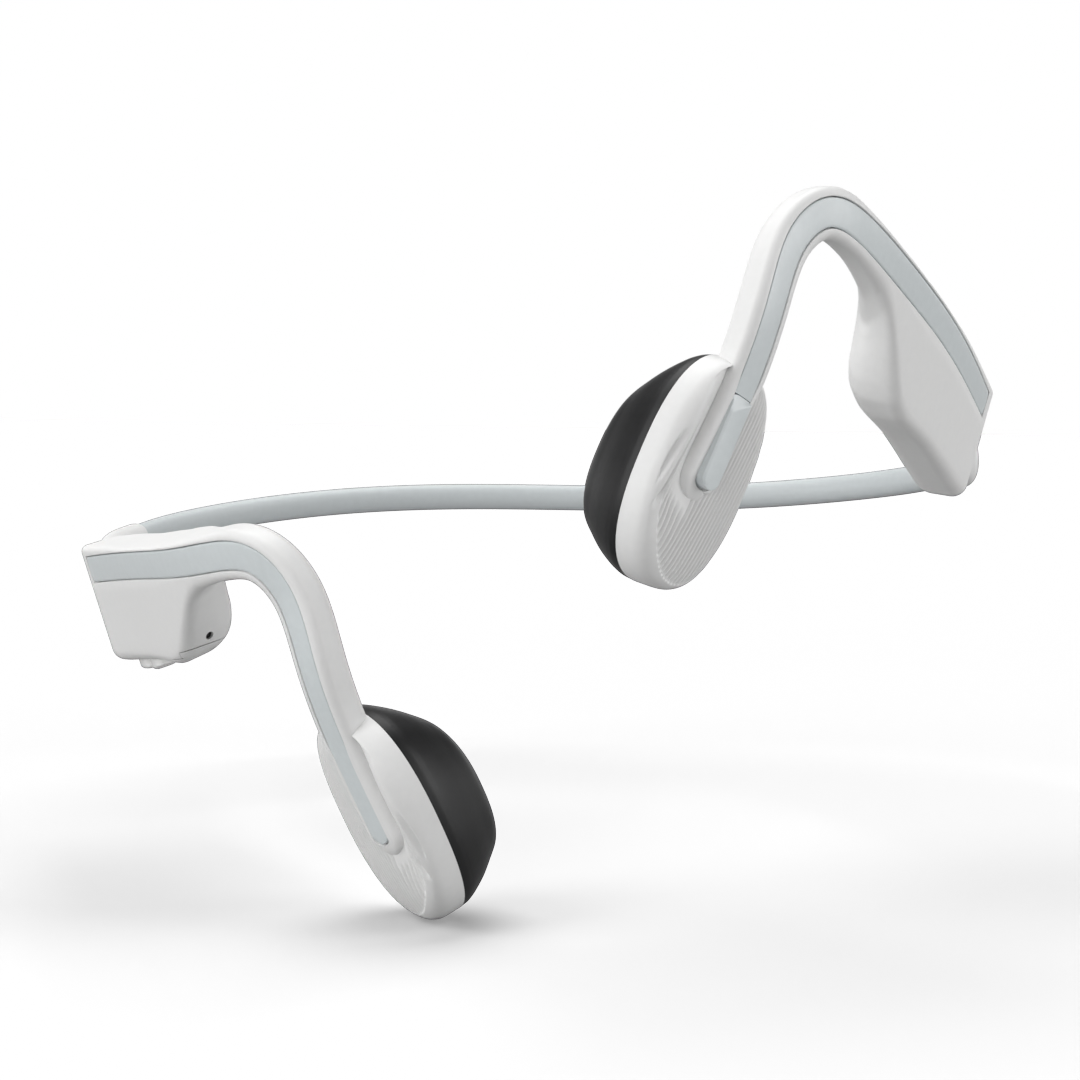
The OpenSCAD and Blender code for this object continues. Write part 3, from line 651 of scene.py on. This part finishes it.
def band_piece(side, name, s_from, s_to, count):
    """A length of the grey sleeve, with no parent."""
    s = np.linspace(s_from, s_to, count)
    size = np.ones(count)
    rings = band_rings(side, s, size * BAND_T / 2, size * BAND_H / 2, 0 * size)
    points, faces = skin_of(rings, caps=(False, False))
    return piece(name, points, faces, FINISHES["band_silicone"], None)


def neck(side, name, body):
    """The white neck over the band's end, swelling and then closing in at the housing."""
    s = np.concatenate([NECK_FROM + NECK_LIP * np.linspace(0, 1, 10) ** 1.5,
                        np.linspace(NECK_FROM + 0.016, NECK_TO, 60)])
    wall = 0.06 + 0.34 * np.sqrt(np.clip((s - NECK_FROM) / NECK_LIP, 0, 1))
    u = smoothstep(-0.02, 0.17, s - NECK_FROM)
    end = smoothstep(0.84, 0.96, s)
    rise = 1.5 * u * (1 - 0.9 * end)
    fall = 1.4 * u
    half_t = BAND_T / 2 + wall + 0.2 * u - 0.5 * end
    rings = band_rings(side, s, half_t, BAND_H / 2 + wall + (rise + fall) / 2, (rise - fall) / 2)
    points, faces = skin_of(rings)
    return piece(name, points, faces, FINISHES["white_skin"], body)


# ---- Cutters and controls ----

def block(x, y, z, radius=0.0, along="Z"):
    """Block in the arm frame between limits, with corners rounded about its Y or Z axis."""
    limits = {"Y": (z, x, y), "Z": (x, y, z)}[along]
    (a0, a1), (b0, b1), (low, high) = limits
    corners = [(a1 - radius, b1 - radius, 0), (a0 + radius, b1 - radius, 90),
               (a0 + radius, b0 + radius, 180), (a1 - radius, b0 + radius, 270)]
    ring = []
    for a, b, start in corners:
        for k in range(9 if radius else 1):
            angle = math.radians(start + 90 * k / 8)
            ring.append((a + radius * math.cos(angle), b + radius * math.sin(angle)))
    order = {"Y": (1, 2, 0), "Z": (0, 1, 2)}[along]
    rings = np.array([[np.array((a, b, level))[list(order)] for a, b in ring]
                      for level in (low, high)])
    return solid("block", rings)


def port_space(gap):
    """Room of the port cover in the arm frame, drawn in by gap."""
    plate = block((PORT_X + gap, CORNER_X + 2), (PORT_Y[0] + gap, PORT_Y[1] - gap),
                  (BOTTOM - 5, CAP_Z - gap))
    outline = [(CORNER_X - 0.5 + gap, BOTTOM - 5), (CORNER_X + 14, BOTTOM - 5),
               (CORNER_X + 14, CORNER_Z + 0.6 - gap), (CORNER_X + 2 + gap, CORNER_Z - gap),
               (CORNER_X - 0.5 + gap, BOTTOM)]
    corner = solid("corner", np.array([[(x, y, z) for x, z in outline] for y in (10, -20)]))
    cut(plate, corner, "UNION")
    return plate


def cover_space(gap):
    """Room of the housing's cover in the arm frame, drawn in by gap."""
    return block((COVER_X[0] + gap, COVER_X[1] - gap), (-T - 5, COVER_T - T),
                 (COVER_Z[0] + gap, COVER_Z[1] - gap), 3 - gap, "Y")


def tube(centre, radius, length, tilt):
    """Closed cylinder in the arm frame, its axis leaning from X by tilt degrees upwards."""
    axis = np.array([math.cos(math.radians(tilt)), 0, math.sin(math.radians(tilt))])
    across = np.array([0, 1, 0])
    other = np.cross(axis, across)
    angle = np.linspace(0, 2 * math.pi, 40, endpoint=False)
    circle = radius * (np.outer(np.cos(angle), across) + np.outer(np.sin(angle), other))
    return solid("tube", np.array([circle + centre + axis * k * length / 2 for k in (-1, 1)]))


def volume_button(name, x, body, wedge):
    """Glossy key: rounded all round, its outer face falling away by wedge to the front."""
    rows = 26
    t = np.linspace(0, 1, rows)
    crown = np.sqrt(1 - (1 - np.minimum(1, (1 - t) * 4)) ** 2)
    half_x = (x[1] - x[0]) / 2 - 0.15
    half_y = (BUTTON_Y[1] - BUTTON_Y[0]) / 2 - 0.15
    angle = np.linspace(0, 2 * math.pi, 64, endpoint=False)
    c = np.cos(angle)
    s = np.sin(angle)
    px = np.sign(c) * np.abs(c) ** 0.55
    py = np.sign(s) * np.abs(s) ** 0.7
    rings = []
    for k in range(rows):
        draw = 1 - 0.35 * (1 - crown[k])
        z = BOTTOM + 1.5 - (BUTTON_PROUD + 1.5) * t[k]
        fall = wedge * t[k] * (px + 1) / 2
        rings.append(np.stack([(x[0] + x[1]) / 2 + px * half_x * draw,
                               sum(BUTTON_Y) / 2 + py * half_y * draw, z + fall], axis=1))
    points, faces = skin_of(np.array(rings))
    return piece(name, placed(points, -1), faces, FINISHES["button_gloss"], body, 50)


def microphone(white):
    """Drill the microphone's hole in the right skin and set a black sleeve deep in it as painted
    shade.
    """
    hole = np.array(MICROPHONE_AT)
    cut(white, tube(hole, MICROPHONE_R, 6, MICROPHONE_TILT))
    # A black sleeve deep in the hole: painted shade that makes the hole's far end dark.
    hole_shade_sleeve = tube(hole - (2.2, 0, -0.35), MICROPHONE_R - 0.01, 3, MICROPHONE_TILT)
    settle(hole_shade_sleeve, -1, "right_side")
    hole_shade_sleeve.name = "microphone_painted_shade"
    hole_shade_sleeve.data.materials[0] = FINISHES["component"]


def right_controls(white):
    """Cut the right skin for its controls; add the port's cover and the microphone."""
    flap = twin(white, "port_flap")
    cut(flap, port_space(SEAM), "INTERSECT")
    settle(flap, -1, "port_cover")
    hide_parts("port_cover")
    cut(white, port_space(0))
    for x in BUTTONS_X:
        cut(white, block(x, BUTTON_Y, (BOTTOM - 3, BOTTOM + 2.4), 1.5))
    microphone(white)


# ---- The object ----

def housing_and_hook(label, side, skin_mesh, cover_mesh):
    """One side's white skin with its controls, and the cover on its inner side."""
    arm_body = label + "_side"
    white = twin(skin_mesh, label + "_skin")
    if side < 0:
        right_controls(white)
    settle(white, side, arm_body)
    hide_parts(label + "_housing_shell", label + "_hook_skin")
    cover = twin(cover_mesh, label + "_cover")
    settle(cover, side, arm_body)
    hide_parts(label + "_housing_cover")


def pod(label, side):
    """One side's pod: shell and pad."""
    arm_body = label + "_side"
    shell = pod_shell(side, label + "_shell", arm_body)
    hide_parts(label + "_pod_shell")
    pad = pod_pad(side, label + "_pad", arm_body)
    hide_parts(label + "_pod_pad")


def half_band(label, side):
    """One half of the neckband in two lengths that meet at LINK_JOIN, and its neck."""
    arm_body = label + "_side"
    neck(side, label + "_neck", arm_body)
    first = band_piece(side, label + "_band_root", 0, LINK_JOIN, 24)
    rest = band_piece(side, label + "_band", LINK_JOIN, BAND_STOP, 140)
    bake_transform(first)
    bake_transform(rest)
    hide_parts("band_sleeve_middle", label + "_band_sleeve_inner")
    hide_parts(label + "_band_sleeve")


def inlays():
    """Both inlay strips, and the multifunction button that ends the left one."""
    left_strip = strip_bar(1, "left_inlay", STRIP_FROM, BUTTON_FROM - 0.006, "left_side",
                           round_tip=False)
    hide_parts("left_strip")
    right_strip = strip_bar(-1, "right_inlay", STRIP_FROM, STRIP_END, "right_side")
    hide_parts("right_strip")
    button = strip_bar(1, "multifunction_key", BUTTON_FROM, STRIP_END, "multifunction_button",
                       lift=button_lift, bevel=0.5)
    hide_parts("multifunction_button")


def volume_keys():
    """The two volume keys, the front one with the steeper face."""
    for name, x, wedge in (("volume_down", BUTTONS_X[0], 0.1), ("volume_up", BUTTONS_X[1], 0.7)):
        key = volume_button(name + "_key", x, name + "_button", wedge)
        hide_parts(name + "_button")


def dress_cad_nodes():
    """Give every CAD node the finish of its material slot."""
    slots = {row["node"]: row["material_slot"] for row in frame["record"]["subparts"]}
    for node, obj in frame["nodes"].items():
        obj.data.materials.clear()
        obj.data.materials.append(FINISHES[slots[node]])


skin_mesh = whole_skin()
cover_mesh = twin(skin_mesh, "cover")
cut(skin_mesh, cover_space(0))
cut(cover_mesh, cover_space(SEAM), "INTERSECT")
for label, side in SIDES.items():
    housing_and_hook(label, side, skin_mesh, cover_mesh)
    pod(label, side)
    half_band(label, side)
bpy.data.objects.remove(skin_mesh)
bpy.data.objects.remove(cover_mesh)
inlays()
volume_keys()
dress_cad_nodes()


# ---- Studio ----

FLOOR_GAP = 0.5
FLOOR_HALF = 6000
LAMPS_AIM = (0, -0.07, 0)
# Camera of the product picture: place in millimetres, turns in degrees about X, Y and Z
CAMERA_AT = (-2.47, -396.74, 17.99)
CAMERA_TURN = (3.826, 0.856, 0.476)
CAMERA_LENS = 66.67


def lamp(name, at, size, watts):
    """A rectangular area lamp aimed at the object."""
    data = bpy.data.lights.new(name, "AREA")
    data.shape = "RECTANGLE"
    data.size, data.size_y = size
    data.energy = watts
    obj = bpy.data.objects.new(name, data)
    obj.location = at
    aim = Vector(LAMPS_AIM) - Vector(at)
    obj.rotation_euler = aim.to_track_quat("-Z", "Y").to_euler()
    bpy.context.scene.collection.objects.link(obj)


def studio_floor():
    """A plain floor just under the object that shows only the shadows on it."""
    object_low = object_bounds()[0]
    z = object_low.z / MM - FLOOR_GAP
    corners = np.array([[-FLOOR_HALF, -FLOOR_HALF, z], [FLOOR_HALF, -FLOOR_HALF, z],
                        [FLOOR_HALF, FLOOR_HALF, z], [-FLOOR_HALF, FLOOR_HALF, z]], float)
    material = finish_of("floor", (0.3, 0.3, 0.3), 0.9, grain=0.01, grain_size=60)
    floor = piece("floor", corners, [[0, 1, 2, 3]], material, None)
    floor.is_shadow_catcher = True


def studio_world():
    """Pale all round at eye level, darker overhead so that the lamps shape the object."""
    world = bpy.data.worlds.new("studio")
    bpy.context.scene.world = world
    world.use_nodes = True
    nodes = world.node_tree.nodes
    links = world.node_tree.links
    direction = nodes.new("ShaderNodeTexCoord")
    axes = nodes.new("ShaderNodeSeparateXYZ")
    glow = nodes.new("ShaderNodeMapRange")
    glow.inputs["From Min"].default_value = 0.22
    glow.inputs["From Max"].default_value = 0.34
    glow.inputs["To Min"].default_value = 1.0
    glow.inputs["To Max"].default_value = 0.12
    links.new(direction.outputs["Generated"], axes.inputs["Vector"])
    links.new(axes.outputs["Z"], glow.inputs["Value"])
    links.new(glow.outputs["Result"], nodes["Background"].inputs["Strength"])
    nodes["Background"].inputs["Color"].default_value = (1, 1, 1, 1)
    bpy.context.scene.view_settings.view_transform = "Standard"


def studio_camera():
    """The scene's camera, which looks level along Y before its turn."""
    data = bpy.data.cameras.new("camera")
    data.sensor_width = 36
    data.lens = CAMERA_LENS
    data.clip_start = 0.01
    data.clip_end = 20
    camera = bpy.data.objects.new("camera", data)
    turning = Vector(CAMERA_TURN)
    view = Matrix.Rotation(math.radians(turning.length), 3, turning.normalized())
    camera.matrix_world = Matrix((view[0], view[2], -view[1])).transposed().to_4x4()
    camera.location = Vector(CAMERA_AT) * MM
    bpy.context.scene.collection.objects.link(camera)
    bpy.context.scene.camera = camera


studio_floor()
lamp("top", (-0.1, 0.12, 0.85), (0.9, 0.7), 6.4)
lamp("left", (-0.75, -0.45, 0.4), (0.4, 0.9), 4.7)
lamp("right", (0.8, -0.25, 0.3), (0.4, 0.9), 4.0)
lamp("front", (-0.4, -0.95, 0.05), (0.6, 0.5), 2.1)
studio_world()
studio_camera()

bpy.context.view_layer.update()
